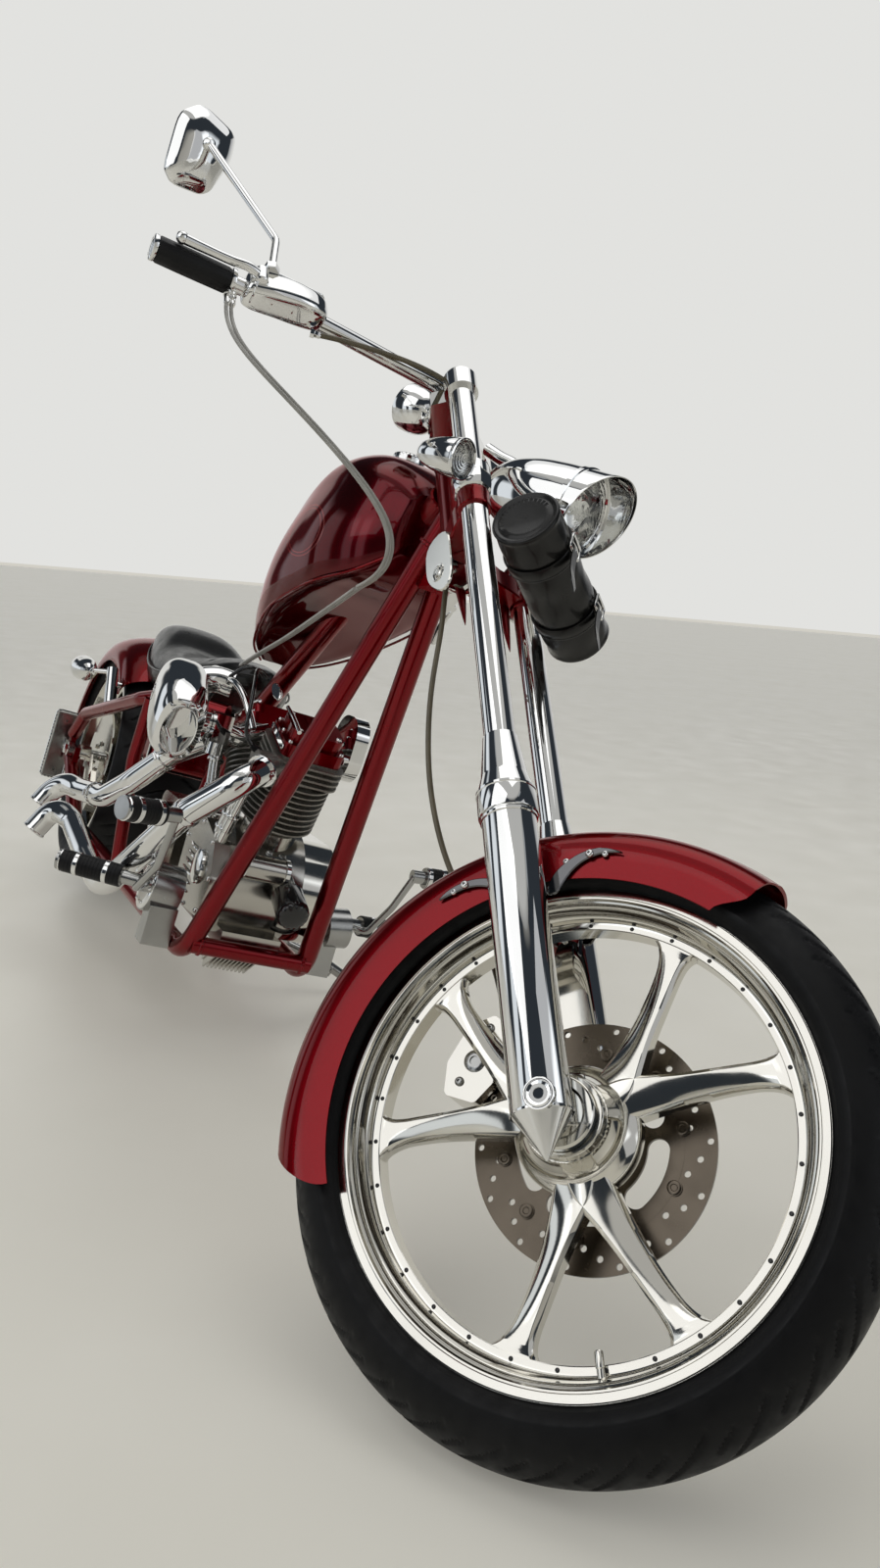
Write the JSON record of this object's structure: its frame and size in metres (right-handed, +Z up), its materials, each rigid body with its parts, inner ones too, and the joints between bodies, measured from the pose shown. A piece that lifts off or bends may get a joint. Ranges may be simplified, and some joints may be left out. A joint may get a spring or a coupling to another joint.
{
  "type": "chopper motorcycle",
  "caption": "Long raked custom motorcycle with billet front wheel, finned V engine, stretched tank and low seat, leaning on its side stand.",
  "frame": {"origin": "centre of the footprint, on the floor the machine stands on", "axes": "+X forward along the wheelbase, +Y to the rider's left, +Z up; the machine leans to +Y on its side stand"},
  "size_m": [2.8835, 0.8203, 1.6135],
  "materials": {
    "tyre": "matt black",
    "polished": "polished",
    "rotor": "brushed, heat tinted",
    "steel": "satin",
    "chrome": "mirror",
    "paint": "deep candy red, high gloss",
    "clear_lens": "clear",
    "red_lens": "gloss",
    "rubber": "matt",
    "leather": "satin grain",
    "hose": "satin",
    "cable": "grey sheath",
    "engine_grey": "cast, satin",
    "black": "gloss black"
  },
  "bodies": {
    "frame": {"rear_axle": "steel", "throttle_lower": "cable", "frame_cradle": "paint", "frame_spine": "paint", "frame_rear": "paint", "oil_tank": "paint", "fuel_tank": "paint", "seat": "leather", "rear_fender": "paint", "crankcase": "polished", "cylinders": "engine_grey", "rockers": "paint", "engine_tubes": "chrome", "air_scoop": "chrome", "exhausts": "chrome", "oil_filter": "black", "primary_drive": "polished", "foot_controls": "chrome", "rear_signals": "chrome", "rear_lenses": "red_lens", "plate_bracket": "steel", "rear_caliper": "polished"},
    "fork": {"fork_tubes": "chrome", "fork_sliders": "chrome", "front_axle": "steel", "lower_tree": "paint", "upper_tree": "chrome", "front_fender": "paint", "front_caliper": "polished", "headlight": "chrome", "front_signals": "chrome", "front_lenses": "clear_lens", "handlebar": "chrome", "grips": "rubber", "hand_controls": "chrome", "mirrors": "chrome", "tool_roll": "leather", "brake_hoses": "hose", "throttle_upper": "cable"},
    "front_wheel": {"front_tyre": "tyre", "front_rim": "polished", "front_rotor": "rotor"},
    "rear_wheel": {"rear_rim": "polished", "rear_tyre": "tyre"},
    "stand": {"side_stand": "steel"}
  },
  "joints": [
    {"name": "steering", "type": "hinge", "parent": "frame", "child": "fork", "pos_m": [0.42318, 0.13306, 1.00139], "axis": [-0.6609, 0.179, 0.7288], "range_deg": [-75, 0]},
    {"name": "front_wheel_spin", "type": "hinge", "parent": "fork", "child": "front_wheel", "pos_m": [1.12353, 0.00177, 0.29663], "axis": [-0.4589, 0.672, -0.5812], "continuous": true},
    {"name": "rear_wheel_spin", "type": "hinge", "parent": "frame", "child": "rear_wheel", "pos_m": [-1.084, -0.03158, 0.33106], "axis": [0, 0.9711, -0.2385], "continuous": true},
    {"name": "side_stand_fold", "type": "hinge", "parent": "frame", "child": "stand", "pos_m": [-0.184, 0.08603, 0.1056], "axis": [0, 0.2385, 0.9711], "range_deg": [0, 90]}
  ]
}
